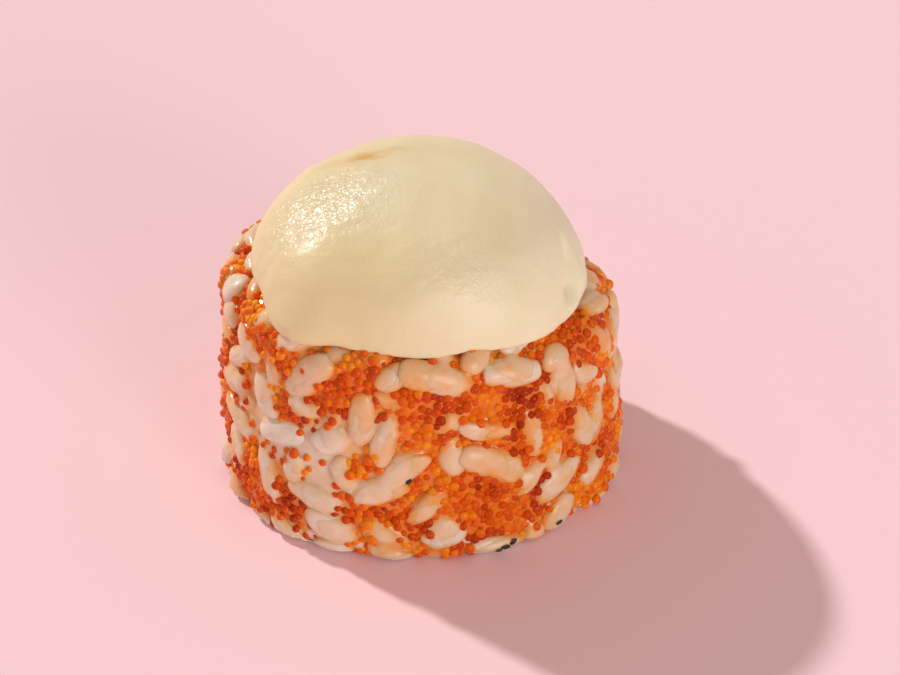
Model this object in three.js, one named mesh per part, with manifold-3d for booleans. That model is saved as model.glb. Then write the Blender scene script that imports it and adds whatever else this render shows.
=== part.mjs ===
// One slice of an inside-out sushi roll, stood on its cut end under a baked cap of cream sauce.
// Rice grains and fish roe cover the side. A seaweed ring, cream cheese and battered shrimp run
// through the rice, as the cut underside shows.
// Millimetres, +Z up. The origin is the centre of the flat underside, and the front faces -Y.
import * as THREE from "three";
import { mergeVertices } from "three/addons/utils/BufferGeometryUtils.js";
import Module from "manifold-3d";

const wasm = await Module();
wasm.setup();

// The roll: the bare rice core under the grains, and its slanted top cut.
const CORE_RADIUS = 19.8;
const ROLL_HEIGHT = 23.4;
const TOP_SLOPE = { x: -0.118, y: -0.1 };
const RIM_ROUND = 3.0;
const FOOT_ROUND = 1.0;

// What runs through the rice.
const NORI_RADIUS = 13.5;
const NORI_THICKNESS = 0.8;
const NORI_WAVE = 0.25;
const RECESS = 0.3;
const GAP = 0.3;

// The cap of sauce, from the rice up.
const CAP_REACH = 18.05;
const CAP_RISE = 12.1;
const CAP_FULLNESS = 1.08;
const CAP_LEAN = { x: 1.7, y: -1.3 };
const CAP_DROOP = 1.6;
const LIP_ROUND = 1.3;
const LIP_TUCK = THREE.MathUtils.degToRad(62);

// How finely the round forms are faceted.
const CORE_STEPS = 40;
const NORI_STEPS = 60;
const CAP_STEPS = 52;
const CAP_CLIMBS = [10, 21, 33, 46, 60, 75].map(THREE.MathUtils.degToRad);

// The rice grains and the roe, at true size.
const GRAIN = { length: 6.8, width: 3.1, thickness: 2.3 };
const GRAIN_SPREAD = 0.16;
const GRAIN_LIFT = 0.15;
const GRAIN_SPACING = 2.5;
const GRAIN_TRIES = 2600;
const GRAIN_LIMIT = 106;
const ROE_RADIUS = 0.56;
const ROE_SPACING = 2.3;
const ROE_TRIES = 6000;
const ROE_LIMIT = 112;

const FULL_TURN = 2 * Math.PI;
const FRONT = -Math.PI / 2;

// Patches of roe on the side that faces the front, in degrees to the right of it, millimetres
// above the floor, half their width and height, and their slant in degrees.
const FRONT_PATCHES = [
  { across: 21, height: 6.8, wide: 7.2, high: 3.4, slant: -33 },
  { across: -20, height: 22.4, wide: 5.2, high: 2.0, slant: 46 },
  { across: 2, height: 17.9, wide: 4.0, high: 2.7, slant: -66 },
  { across: 5, height: 20.2, wide: 4.1, high: 1.3, slant: -11 },
  { across: 32, height: 16.1, wide: 9.4, high: 3.6, slant: -32 },
  { across: -9, height: 5.2, wide: 3.6, high: 3.1, slant: 0 },
  { across: 12, height: 1.0, wide: 2.2, high: 1.0, slant: -13 },
  { across: -15, height: 12.4, wide: 3.1, high: 0.9, slant: 46 },
  { across: -39, height: 16.7, wide: 2.2, high: 1.4, slant: 5 },
  { across: -50, height: 5.2, wide: 6.0, high: 3.6, slant: 12 },
  { across: -51, height: 24.4, wide: 5.6, high: 2.3, slant: -31 },
  { across: -42, height: 22.9, wide: 2.3, high: 1.5, slant: -55 },
  { across: 57, height: 22.2, wide: 8.0, high: 2.4, slant: -40 },
  { across: 66, height: 3.4, wide: 3.4, high: 3.0, slant: 37 },
  { across: 72, height: 9.0, wide: 3.5, high: 3.0, slant: 74 },
  { across: -76, height: 12.5, wide: 6.5, high: 3.0, slant: 80 },
];
const OTHER_PATCHES = 17;
const PATCHED_FRONT = 86;

// The grains that show at the front, in degrees to the right of it, millimetres above the floor,
// their spin from level in degrees, and their length and width.
const FRONT_GRAINS = [
  { across: 6, height: 22.6, spin: -20, length: 8.6, width: 3.9 },
  { across: 30, height: 21.8, spin: -14, length: 7.0, width: 3.4 },
  { across: 48, height: 18.6, spin: -83, length: 7.4, width: 3.2 },
  { across: 58, height: 17.6, spin: -36, length: 5.2, width: 2.6 },
  { across: 46, height: 21.5, spin: -3, length: 3.8, width: 2.8 },
  { across: -33, height: 21.5, spin: 50, length: 8.0, width: 3.8 },
  { across: -16, height: 17.8, spin: 84, length: 7.1, width: 3.0 },
  { across: -25, height: 14.6, spin: 35, length: 4.2, width: 3.4 },
  { across: 23, height: 11.4, spin: -36, length: 8.8, width: 4.0 },
  { across: 36, height: 14.2, spin: -79, length: 6.4, width: 3.2 },
  { across: -4, height: 12.1, spin: 42, length: 6.3, width: 3.5 },
  { across: -12, height: 9.0, spin: 30, length: 6.8, width: 3.8 },
  { across: -31, height: 6.8, spin: -14, length: 6.2, width: 3.6 },
  { across: -26, height: 3.4, spin: -15, length: 6.2, width: 3.6 },
  { across: 45, height: 6.4, spin: 29, length: 6.6, width: 3.4 },
  { across: 45, height: 2.4, spin: 46, length: 4.6, width: 3.2 },
  { across: 8, height: 3.4, spin: 13, length: 5.0, width: 3.8 },
  { across: -43, height: 13.3, spin: 21, length: 6.3, width: 3.5 },
  { across: -22, height: 10.6, spin: -72, length: 4.7, width: 2.8 },
  { across: -49, height: 16.9, spin: -68, length: 5.4, width: 3.3 },
  { across: -57, height: 21.8, spin: -25, length: 4.8, width: 3.6 },
  { across: 68, height: 19.6, spin: -51, length: 7.0, width: 3.2 },
  { across: -8, height: 22.9, spin: 19, length: 3.6, width: 2.9 },
  { across: 55, height: 11.7, spin: -62, length: 7.0, width: 3.4 },
  { across: -82, height: 9.5, spin: 80, length: 7.6, width: 3.4 },
  { across: -64, height: 7.2, spin: -33, length: 4.8, width: 3.4 },
  { across: -74, height: 24.6, spin: 40, length: 5.4, width: 3.2 },
  { across: -38, height: 9.6, spin: 77, length: 4.7, width: 2.7 },
  { across: 79, height: 21.8, spin: -24, length: 6.0, width: 3.0 },
  { across: 76, height: 10.9, spin: 60, length: 6.0, width: 3.2 },
  { across: 62, height: 5.0, spin: 25, length: 5.0, width: 3.3 },
  { across: -34, height: 17.7, spin: 0, length: 3.8, width: 2.6 },
  { across: -10, height: 3.7, spin: -34, length: 5.5, width: 3.4 },
  { across: 24, height: 0.8, spin: 1, length: 6.5, width: 2.6 },
];

const COLOURS = {
  rice: 0xe6c9b4,
  nori: 0x1c1a14,
  cheese: 0xf1e6cd,
  shrimp: 0xe0cdb8,
  batter: 0xb3621f,
  cap: 0xecd9b0,
};

// Lehmer's generator: the same draws from the same seed, from 0 to 1.
function drawsFrom(seed) {
  let state = seed;
  return () => {
    state = (state * 48271) % 2147483647;
    return state / 2147483647;
  };
}

function spreadAround(middle, share, draw) {
  return middle * (1 + share * (2 * draw() - 1));
}

// A closed skin over loops of points, each joined to the next. A loop of one point is a pole.
function skinOver(loops, joinsItself = false) {
  const starts = [];
  let total = 0;
  for (const loop of loops) {
    starts.push(total);
    total += loop.length;
  }
  const faces = [];
  const bands = joinsItself ? loops.length : loops.length - 1;
  for (let band = 0; band < bands; band += 1) {
    const next = (band + 1) % loops.length;
    const low = loops[band].length;
    const high = loops[next].length;
    for (let i = 0; i < Math.max(low, high); i += 1) {
      const a = starts[band] + (i % low);
      const b = starts[band] + ((i + 1) % low);
      const c = starts[next] + ((i + 1) % high);
      const d = starts[next] + (i % high);
      if (low > 1) faces.push(a, b, c);
      if (high > 1) faces.push(a, c, d);
    }
  }
  const skin = new THREE.BufferGeometry().setFromPoints(loops.flat());
  skin.setIndex(faces);
  return skin;
}

function solidOf(geometry) {
  const bare = geometry.index ? geometry.toNonIndexed() : geometry.clone();
  bare.deleteAttribute("normal");
  bare.deleteAttribute("uv");
  const merged = mergeVertices(bare, 1e-4);
  return new wasm.Manifold(
    new wasm.Mesh({
      numProp: 3,
      vertProperties: merged.getAttribute("position").array,
      triVerts: new Uint32Array(merged.index.array),
    }),
  );
}

function geometryOf(solid) {
  const { vertProperties, triVerts } = solid.getMesh();
  const geometry = new THREE.BufferGeometry();
  geometry.setAttribute("position", new THREE.BufferAttribute(vertProperties, 3));
  geometry.setIndex(new THREE.BufferAttribute(triVerts, 1));
  geometry.computeVertexNormals();
  return geometry;
}

// The slanted cut across the top of the rice.
function topHeight(x, y) {
  return ROLL_HEIGHT + TOP_SLOPE.x * x + TOP_SLOPE.y * y;
}

// How high the side would reach at an angle if its rim were not rounded.
function sideHeight(angle) {
  return topHeight(CORE_RADIUS * Math.cos(angle), CORE_RADIUS * Math.sin(angle));
}

// The bare core is not quite round: it spreads low down, most of all to the right.
function coreRadius(angle, height) {
  const share = Math.min(Math.max(height / ROLL_HEIGHT, 0), 1);
  const oval = 0.3 * Math.cos(2 * (angle - 0.5)) + 0.22 * Math.cos(3 * angle + 1.1);
  const spread = 0.55 + 0.5 * Math.cos(2 * angle) + 0.5 * Math.cos(angle + 0.9);
  const flare = spread * Math.max(0, 1 - share / 0.9);
  const waist = -0.35 * (share - 0.45) ** 2;
  const foot = -FOOT_ROUND * Math.max(0, 1 - Math.max(height, 0) / FOOT_ROUND) ** 2;
  return CORE_RADIUS + oval + flare + waist + foot;
}

// How far the rounded rim has dropped below the top cut, at a distance from the axis.
function rimDrop(angle, distance) {
  const start = coreRadius(angle, ROLL_HEIGHT) - RIM_ROUND;
  const past = Math.min(Math.max((distance - start) / RIM_ROUND, 0), 1);
  return RIM_ROUND * (1 - Math.sqrt(1 - past * past));
}

// A point on the rice's skin: round the roll by angle, up the side, over the rounded rim and in
// across the top by rise, and out from the core by lift.
function onSkin(angle, rise, lift) {
  const radius = coreRadius(angle, rise);
  const round = new THREE.Vector3(Math.cos(angle), Math.sin(angle), 0);
  const rimStart = topHeight(radius * round.x, radius * round.y) - RIM_ROUND;
  const quarter = (RIM_ROUND * Math.PI) / 2;
  const turn = Math.min(Math.max((rise - rimStart) / RIM_ROUND, 0), Math.PI / 2);
  const inward = Math.max(rise - rimStart - quarter, 0);
  const distance = radius - RIM_ROUND * (1 - Math.cos(turn)) - inward;
  const point = round.clone().multiplyScalar(distance);
  point.z = rise < rimStart ? rise : topHeight(point.x, point.y) - RIM_ROUND * (1 - Math.sin(turn));
  const outward = round.clone().multiplyScalar(Math.cos(turn));
  outward.z = Math.sin(turn);
  return point.addScaledVector(outward, lift);
}

// The patches of roe, in millimetres along the skin: those at the front, and others spread by
// draws round the sides and back.
function roePatches() {
  const patches = FRONT_PATCHES.map(({ across, height, wide, high, slant }) => ({
    angle: FRONT + THREE.MathUtils.degToRad(across),
    height,
    wide,
    high,
    slant: THREE.MathUtils.degToRad(slant),
  }));
  const draw = drawsFrom(77);
  const step = THREE.MathUtils.degToRad(360 - 2 * PATCHED_FRONT) / OTHER_PATCHES;
  for (let i = 0; i < OTHER_PATCHES; i += 1) {
    patches.push({
      angle: FRONT + THREE.MathUtils.degToRad(PATCHED_FRONT) + (i + draw()) * step,
      height: 2 + 19 * ((i * 0.618 + 0.3 * draw()) % 1),
      wide: 2.4 + 3.2 * draw(),
      high: 1.6 + 2.0 * draw(),
      slant: Math.PI * (draw() - 0.5),
    });
  }
  return patches;
}

// The shorter way round from one angle to another.
function turnBetween(from, to) {
  return Math.atan2(Math.sin(to - from), Math.cos(to - from));
}

// 0 at the middle of the nearest patch of roe, 1 at its edge.
function patchDistance(patches, angle, rise) {
  const distances = patches.map((patch) => {
    const side = turnBetween(patch.angle, angle) * CORE_RADIUS;
    const up = rise - patch.height;
    const along = side * Math.cos(patch.slant) + up * Math.sin(patch.slant);
    const over = up * Math.cos(patch.slant) - side * Math.sin(patch.slant);
    return Math.hypot(along / patch.wide, over / patch.high);
  });
  return Math.min(...distances);
}

// Three points along a grain, by its middle's angle and their places to the side and up.
function spineOf({ angle, rise, spin, length }) {
  return [-0.32, 0, 0.32].map((share) => ({
    angle,
    side: share * length * Math.cos(spin),
    up: rise + share * length * Math.sin(spin),
  }));
}

// First the grains that show at the front. The others lie any way round, as close as they pack,
// with few of them where the roe lies.
function grainPlaces(patches) {
  const draw = drawsFrom(2024);
  const places = FRONT_GRAINS.map(({ across, height, spin, length, width }) => ({
    angle: FRONT + THREE.MathUtils.degToRad(across),
    rise: height,
    spin: THREE.MathUtils.degToRad(spin),
    length,
    width,
    lift: 0,
  }));
  const beads = places.flatMap(spineOf);
  for (let i = 0; i < GRAIN_TRIES && places.length < GRAIN_LIMIT; i += 1) {
    const angle = draw() * FULL_TURN;
    const place = {
      angle,
      rise: -0.4 + draw() * (sideHeight(angle) + 2.6),
      spin: draw() * Math.PI,
      length: spreadAround(GRAIN.length, GRAIN_SPREAD, draw),
      width: spreadAround(GRAIN.width, GRAIN_SPREAD, draw),
      lift: GRAIN_LIFT * (2 * draw() - 1),
    };
    const chance = draw();
    const inPatch = patchDistance(patches, place.angle, place.rise) < 1;
    const spine = spineOf(place);
    const crowded = spine.some((own) =>
      beads.some((other) => {
        const side = turnBetween(other.angle, place.angle) * CORE_RADIUS + own.side - other.side;
        return Math.hypot(side, own.up - other.up) < GRAIN_SPACING;
      }),
    );
    if (crowded || (inPatch && chance > 0.12)) continue;
    places.push(place);
    beads.push(...spine);
  }
  return places;
}

// One grain with few sides, bent to the roll, with half of it sunk in the core.
function grainGeometry({ angle, rise, spin, length, width, lift }) {
  const sides = 6;
  const rings = 2;
  const bend = (along, across, out) => {
    const side = along * Math.cos(spin) - across * Math.sin(spin);
    const up = along * Math.sin(spin) + across * Math.cos(spin);
    return onSkin(angle + side / CORE_RADIUS, rise + up, lift + out);
  };
  const loops = [[bend(-length / 2, 0, 0)]];
  for (let ring = 1; ring <= rings; ring += 1) {
    const turn = (Math.PI * ring) / (rings + 1);
    const girth = Math.sin(turn) ** 0.7;
    loops.push(
      Array.from({ length: sides }, (_, i) => {
        const round = (FULL_TURN * i) / sides;
        const across = (width / 2) * girth * Math.cos(round);
        const out = (GRAIN.thickness / 2) * girth * Math.sin(round);
        return bend((-length / 2) * Math.cos(turn), across, out);
      }),
    );
  }
  loops.push([bend(length / 2, 0, 0)]);
  return skinOver(loops);
}

// Roe fills its patches between the grains, one bead clear of the next, and strays a little.
function roePlaces(patches) {
  const draw = drawsFrom(4711);
  const places = [];
  for (let i = 0; i < ROE_TRIES && places.length < ROE_LIMIT; i += 1) {
    const angle = draw() * FULL_TURN;
    const rise = 0.4 + draw() * (sideHeight(angle) + 0.6);
    const stray = draw() < 0.04;
    const close = places.some(
      (other) =>
        Math.hypot(turnBetween(other.angle, angle) * CORE_RADIUS, rise - other.rise) < ROE_SPACING,
    );
    if (close || (!stray && patchDistance(patches, angle, rise) > 1)) continue;
    places.push({ angle, rise, lift: 0.25 + 0.35 * draw() });
  }
  return places;
}

function beadGeometry({ angle, rise, lift }) {
  const bead = new THREE.IcosahedronGeometry(ROE_RADIUS, 0);
  const place = onSkin(angle, rise, lift);
  return bead.translate(place.x, place.y, place.z);
}

function loopOf(steps, pointAt) {
  return Array.from({ length: steps }, (_, i) => pointAt((FULL_TURN * i) / steps));
}

// The bare core of rice, before the seaweed's hole is cut through it.
function coreGeometry() {
  const sideLevels = [0, FOOT_ROUND, 0.5 * ROLL_HEIGHT];
  const rimTurns = [0, 30, 60, 90].map(THREE.MathUtils.degToRad);
  const rimRise = (angle, turn) => {
    const radius = coreRadius(angle, ROLL_HEIGHT);
    const edge = topHeight(radius * Math.cos(angle), radius * Math.sin(angle));
    return edge - RIM_ROUND * (1 - turn);
  };
  return skinOver([
    [new THREE.Vector3(0, 0, 0)],
    ...sideLevels.map((height) => loopOf(CORE_STEPS, (angle) => onSkin(angle, height, 0))),
    ...rimTurns.map((turn) =>
      loopOf(CORE_STEPS, (angle) => onSkin(angle, rimRise(angle, turn), 0)),
    ),
    [new THREE.Vector3(0, 0, topHeight(0, 0))],
  ]);
}

// The hole that the seaweed ring fills, a gap wider than the ring.
function holeGeometry() {
  const wall = (height) =>
    loopOf(NORI_STEPS, (angle) => {
      const distance = NORI_RADIUS + GAP + noriWave(angle);
      return new THREE.Vector3(distance * Math.cos(angle), distance * Math.sin(angle), height);
    });
  const past = 2 * ROLL_HEIGHT;
  return skinOver([
    [new THREE.Vector3(0, 0, -past)],
    wall(-past),
    wall(past),
    [new THREE.Vector3(0, 0, past)],
  ]);
}

function largestOf(solid) {
  return solid.decompose().sort((a, b) => b.volume() - a.volume())[0];
}

// The core with its grains and roe fused on, cut flat where it stands.
function riceGeometry() {
  const patches = roePatches();
  const pieces = [
    coreGeometry(),
    ...grainPlaces(patches).map(grainGeometry),
    ...roePlaces(patches).map(beadGeometry),
  ].map(solidOf);
  const reach = 4 * CORE_RADIUS;
  const above = new THREE.BoxGeometry(reach, reach, reach).translate(0, 0, reach / 2);
  const joined = wasm.Manifold.union(pieces)
    .intersect(solidOf(above))
    .subtract(solidOf(holeGeometry()))
    .subtract(solidOf(capGeometry(GAP, 0.8 * GAP)));
  return geometryOf(largestOf(joined));
}

// The seaweed ring is a little wavy, as it lies against the grains.
function noriWave(angle) {
  return NORI_WAVE * (Math.cos(5 * angle + 0.4) + 0.6 * Math.cos(8 * angle));
}

function noriGeometry() {
  const loopAt = (distance, top) =>
    loopOf(NORI_STEPS, (angle) => {
      const out = distance + noriWave(angle);
      const x = out * Math.cos(angle);
      const y = out * Math.sin(angle);
      return new THREE.Vector3(x, y, top ? topHeight(x, y) - RECESS : RECESS);
    });
  const inside = NORI_RADIUS - NORI_THICKNESS;
  return skinOver(
    [loopAt(inside, false), loopAt(NORI_RADIUS, false), loopAt(NORI_RADIUS, true), loopAt(inside, true)],
    true,
  );
}

// A closed outline inside the seaweed, from points given as shares of its inner radius, grown
// outwards by a margin.
function fillingOutline(shares, margin = 0) {
  const inside = NORI_RADIUS - NORI_THICKNESS - GAP;
  const curve = new THREE.CatmullRomCurve3(
    shares.map(([x, y]) => {
      const scale = inside + noriWave(Math.atan2(y, x));
      return new THREE.Vector3(x * scale, y * scale, 0);
    }),
    true,
  );
  const steps = 44;
  return Array.from({ length: steps }, (_, i) => {
    const point = curve.getPointAt(i / steps);
    const ahead = curve.getTangentAt(i / steps);
    return new THREE.Vector2(point.x + margin * ahead.y, point.y - margin * ahead.x);
  });
}

// A filling runs from the underside to the top cut. A grown one runs past both, to cut others.
function fillingSolid(shares, margin = 0) {
  const shape = new THREE.Shape(fillingOutline(shares, margin));
  const prism = new THREE.ExtrudeGeometry(shape, { depth: 1, bevelEnabled: false });
  const position = prism.getAttribute("position");
  for (let i = 0; i < position.count; i += 1) {
    const top = topHeight(position.getX(i), position.getY(i)) - RECESS + margin;
    position.setZ(i, position.getZ(i) > 0.5 ? top : RECESS - margin);
  }
  return solidOf(prism);
}

// Outlines anticlockwise, as the cut face shows them: cheese over a pale shrimp, with batter in
// all the rest of the seaweed ring.
const SHRIMP_OUTLINE = [
  [-0.44, 0.13], [-0.56, -0.14], [-0.62, -0.42], [-0.56, -0.6], [-0.36, -0.78], [-0.16, -0.88],
  [0.1, -0.8], [0.42, -0.76], [0.58, -0.5], [0.45, -0.28], [0.53, -0.12], [0.42, 0.08], [0, 0.13],
];
const CHEESE_OUTLINE = [
  [0.02, 0.99], [-0.36, 0.93], [-0.72, 0.69], [-0.95, 0.3], [-0.98, -0.14], [-0.86, -0.4],
  [-0.6, -0.42], [-0.45, -0.1], [-0.2, 0.05], [0.2, 0.14], [0.5, 0.42], [0.66, 0.6], [0.38, 0.9],
];
const ROUND_OUTLINE = Array.from({ length: 12 }, (_, i) => [
  0.99 * Math.cos((FULL_TURN * i) / 12),
  0.99 * Math.sin((FULL_TURN * i) / 12),
]);

function cheeseGeometry() {
  return geometryOf(
    largestOf(fillingSolid(CHEESE_OUTLINE).subtract(fillingSolid(SHRIMP_OUTLINE, GAP))),
  );
}

function batterGeometry() {
  const rest = fillingSolid(ROUND_OUTLINE)
    .subtract(fillingSolid(SHRIMP_OUTLINE, GAP))
    .subtract(fillingSolid(CHEESE_OUTLINE, GAP));
  return geometryOf(largestOf(rest));
}

// How far the cap spreads over the rice: most at the front and the back right, with a corner at
// the front left.
function capReach(angle) {
  const forward = 0.5 * Math.cos(angle) - 0.5 * Math.sin(angle);
  const oval = 1.0 * Math.cos(2 * (angle - 1.16));
  const uneven = -0.4 * Math.sin(3 * angle);
  const corner = 1.9 * Math.exp(-((turnBetween(angle, FRONT - 0.66) / 0.24) ** 2));
  return CAP_REACH + forward + oval + uneven + corner;
}

// How far the lip curls in under the cap.
function lipTuck(climb) {
  return LIP_ROUND * (1 - Math.cos(climb));
}

// A point on the cap's outside: climb goes from under its lip, below 0, to its top at 90 degrees.
function onCap(angle, climb, grow = 0) {
  const reach = capReach(angle) + grow;
  const distance = climb < 0 ? reach - lipTuck(climb) : reach * Math.cos(climb);
  const lean = climb < 0 ? 0 : 1 - Math.cos(climb);
  const x = distance * Math.cos(angle);
  const y = distance * Math.sin(angle);
  const droop = Math.min(rimDrop(angle, distance), CAP_DROOP);
  const sag = droop * Math.max(0, 1 - Math.max(climb, 0) / 0.8);
  const rise = climb < 0 ? LIP_ROUND * Math.sin(climb) : CAP_RISE * Math.sin(climb) ** CAP_FULLNESS;
  const lipHeight = LIP_ROUND * Math.sin(LIP_TUCK) + GAP;
  const height = topHeight(x, y) + lipHeight + rise - sag;
  return new THREE.Vector3(x + CAP_LEAN.x * lean, y + CAP_LEAN.y * lean, height);
}

// The cap's skin, from the middle of its underside, which lies a gap above the rice, out to its
// lip and up to its top. It can be grown and lowered, for the room that the grains leave it.
function capGeometry(grow = 0, lower = 0) {
  const underside = [0.45, 0.85].map((share) =>
    loopOf(CAP_STEPS, (angle) => {
      const distance = (capReach(angle) + grow - lipTuck(LIP_TUCK)) * share;
      const x = distance * Math.cos(angle);
      const y = distance * Math.sin(angle);
      return new THREE.Vector3(x, y, topHeight(x, y) + GAP);
    }),
  );
  const outside = [-LIP_TUCK, -LIP_TUCK / 2, 0, ...CAP_CLIMBS].map((climb) =>
    loopOf(CAP_STEPS, (angle) => onCap(angle, climb, grow)),
  );
  return skinOver([
    [new THREE.Vector3(0, 0, topHeight(0, 0) + GAP)],
    ...underside,
    ...outside,
    [onCap(0, Math.PI / 2)],
  ]).translate(0, 0, -lower);
}

function mesh(name, geometry, color, roughness) {
  const made = new THREE.Mesh(
    geometry,
    new THREE.MeshStandardMaterial({ color, roughness, metalness: 0 }),
  );
  made.name = name;
  return made;
}

const roll = new THREE.Group();
roll.add(
  mesh("rice_and_roe", riceGeometry(), COLOURS.rice, 0.5),
  mesh("nori", noriGeometry(), COLOURS.nori, 0.6),
  mesh("cream_cheese", cheeseGeometry(), COLOURS.cheese, 0.5),
  mesh("shrimp", geometryOf(fillingSolid(SHRIMP_OUTLINE)), COLOURS.shrimp, 0.4),
  mesh("tempura_batter", batterGeometry(), COLOURS.batter, 0.8),
  mesh("sauce_cap", capGeometry(), COLOURS.cap, 0.35),
);

// The origin is under the middle of the whole slice.
const extent = new THREE.Box3().setFromObject(roll);
const middle = extent.getCenter(new THREE.Vector3());
roll.position.set(-middle.x, -middle.y, 0);

export default roll;
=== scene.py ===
"""A slice of baked sushi roll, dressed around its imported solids.

Sticky rice and roe cover its side, seaweed and fillings run through it, and a baked cap of cream
sauce lies on top. Lengths are in millimetres from the roll's axis until mesh_piece() turns them
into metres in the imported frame.
"""

import math

import bmesh
import bpy
import numpy as np
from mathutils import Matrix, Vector, noise


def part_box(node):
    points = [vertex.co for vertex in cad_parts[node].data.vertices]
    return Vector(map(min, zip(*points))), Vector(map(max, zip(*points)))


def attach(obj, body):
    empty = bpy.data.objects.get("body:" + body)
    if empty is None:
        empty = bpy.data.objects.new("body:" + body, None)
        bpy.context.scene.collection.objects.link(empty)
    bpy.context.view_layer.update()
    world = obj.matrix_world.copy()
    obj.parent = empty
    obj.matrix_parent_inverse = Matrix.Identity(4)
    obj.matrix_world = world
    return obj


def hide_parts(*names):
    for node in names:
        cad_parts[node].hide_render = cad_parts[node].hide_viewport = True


MM = 0.001
FULL_TURN = 2 * math.pi
FRONT = -math.pi / 2
LEHMER_FACTOR = 48271
LEHMER_PRIME = 2**31 - 1

# ------------------------------------------------------------------ sizes that the solids share

CORE_RADIUS = 19.8
ROLL_HEIGHT = 23.4
TOP_SLOPE_X = -0.118
TOP_SLOPE_Y = -0.1
RIM_ROUND = 3.0
FOOT_ROUND = 1.0

NORI_RADIUS = 13.5
NORI_THICKNESS = 0.8
NORI_WAVE = 0.25
NORI_STEPS = 60
RECESS = 0.3
GAP = 0.3

CAP_REACH = 18.05
CAP_RISE = 12.1
CAP_FULLNESS = 1.08
CAP_LEAN_X = 1.7
CAP_LEAN_Y = -1.3
CAP_DROOP = 1.6
LIP_ROUND = 1.3
LIP_TUCK = math.radians(62)

GRAIN_LENGTH = 6.8
GRAIN_WIDTH = 3.1
GRAIN_THICKNESS = 2.3
GRAIN_SPREAD = 0.16
GRAIN_LIFT = 0.15
GRAIN_SPACING = 2.5
GRAIN_TRIES = 2600
GRAIN_LIMIT = 106
GRAIN_LOWEST = -0.4
GRAIN_EXTRA_RISE = 2.6
GRAINS_IN_PATCHES = 0.12
GRAIN_SEED = 2024
ROE_RADIUS = 0.56

# Patches of roe at the front: degrees to the right of it, height, half width, half height, slant.
FRONT_PATCHES = [
    (21, 6.8, 7.2, 3.4, -33),
    (-20, 22.4, 5.2, 2.0, 46),
    (2, 17.9, 4.0, 2.7, -66),
    (5, 20.2, 4.1, 1.3, -11),
    (32, 16.1, 9.4, 3.6, -32),
    (-9, 5.2, 3.6, 3.1, 0),
    (12, 1.0, 2.2, 1.0, -13),
    (-15, 12.4, 3.1, 0.9, 46),
    (-39, 16.7, 2.2, 1.4, 5),
    (-50, 5.2, 6.0, 3.6, 12),
    (-51, 24.4, 5.6, 2.3, -31),
    (-42, 22.9, 2.3, 1.5, -55),
    (57, 22.2, 8.0, 2.4, -40),
    (66, 3.4, 3.4, 3.0, 37),
    (72, 9.0, 3.5, 3.0, 74),
    (-76, 12.5, 6.5, 3.0, 80),
]
OTHER_PATCHES = 17
PATCHED_FRONT = 86
PATCH_SEED = 77

# Grains that show at the front: degrees to the right of it, height, spin, length, width.
FRONT_GRAINS = [
    (6, 22.6, -20, 8.6, 3.9),
    (30, 21.8, -14, 7.0, 3.4),
    (48, 18.6, -83, 7.4, 3.2),
    (58, 17.6, -36, 5.2, 2.6),
    (46, 21.5, -3, 3.8, 2.8),
    (-33, 21.5, 50, 8.0, 3.8),
    (-16, 17.8, 84, 7.1, 3.0),
    (-25, 14.6, 35, 4.2, 3.4),
    (23, 11.4, -36, 8.8, 4.0),
    (36, 14.2, -79, 6.4, 3.2),
    (-4, 12.1, 42, 6.3, 3.5),
    (-12, 9.0, 30, 6.8, 3.8),
    (-31, 6.8, -14, 6.2, 3.6),
    (-26, 3.4, -15, 6.2, 3.6),
    (45, 6.4, 29, 6.6, 3.4),
    (45, 2.4, 46, 4.6, 3.2),
    (8, 3.4, 13, 5.0, 3.8),
    (-43, 13.3, 21, 6.3, 3.5),
    (-22, 10.6, -72, 4.7, 2.8),
    (-49, 16.9, -68, 5.4, 3.3),
    (-57, 21.8, -25, 4.8, 3.6),
    (68, 19.6, -51, 7.0, 3.2),
    (-8, 22.9, 19, 3.6, 2.9),
    (55, 11.7, -62, 7.0, 3.4),
    (-82, 9.5, 80, 7.6, 3.4),
    (-64, 7.2, -33, 4.8, 3.4),
    (-74, 24.6, 40, 5.4, 3.2),
    (-38, 9.6, 77, 4.7, 2.7),
    (79, 21.8, -24, 6.0, 3.0),
    (76, 10.9, 60, 6.0, 3.2),
    (62, 5.0, 25, 5.0, 3.3),
    (-34, 17.7, 0, 3.8, 2.6),
    (-10, 3.7, -34, 5.5, 3.4),
    (24, 0.8, 1, 6.5, 2.6),
]

# --------------------------------------------------------------------- sizes of the finer detail

FINE_SEED = 31

# The shape of one grain. A pair is the least and the most of what is drawn for each grain.
GRAIN_SIDES = 14
GRAIN_RINGS = 11
GRAIN_BLUNTNESS = (0.25, 0.48)
GRAIN_FULLNESS = (0.82, 1.04)
GRAIN_TAPER = 0.24
GRAIN_RIDGE = 0.1
GRAIN_BOW = 0.5
GROOVE_PLACE = 0.25
GROOVE_WIDTH = 0.28
GROOVE_DEPTH = 0.2
SIDE_PITCH = math.radians(7)
CUT_PITCH = math.radians(80)

# Dents in the grains: their size, where their noise starts, and their depths in x, y and z.
GRAIN_DENTS = [
    (2.1, 0.0, (0.2, 0.2, 0.16)),
    (0.9, 5.0, (0.07, 0.07, 0.05)),
]

# Layers of grains under the proud ones: lift, spacing, tries, and how near to a patch's middle.
SUNK_LAYERS = [
    (-0.2, 2.0, 5200, 0.8),
    (-0.55, 1.7, 4200, 0.75),
    (-0.95, 1.45, 3200, 0),
]
SUNK_LOWEST = -0.8
SUNK_OVER_RIM = 2.4
SUNK_LENGTHS = (0.62, 1.05)
SUNK_WIDTHS = (0.8, 1.05)
SUNK_LIFTS = (-0.15, 0.2)

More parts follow.
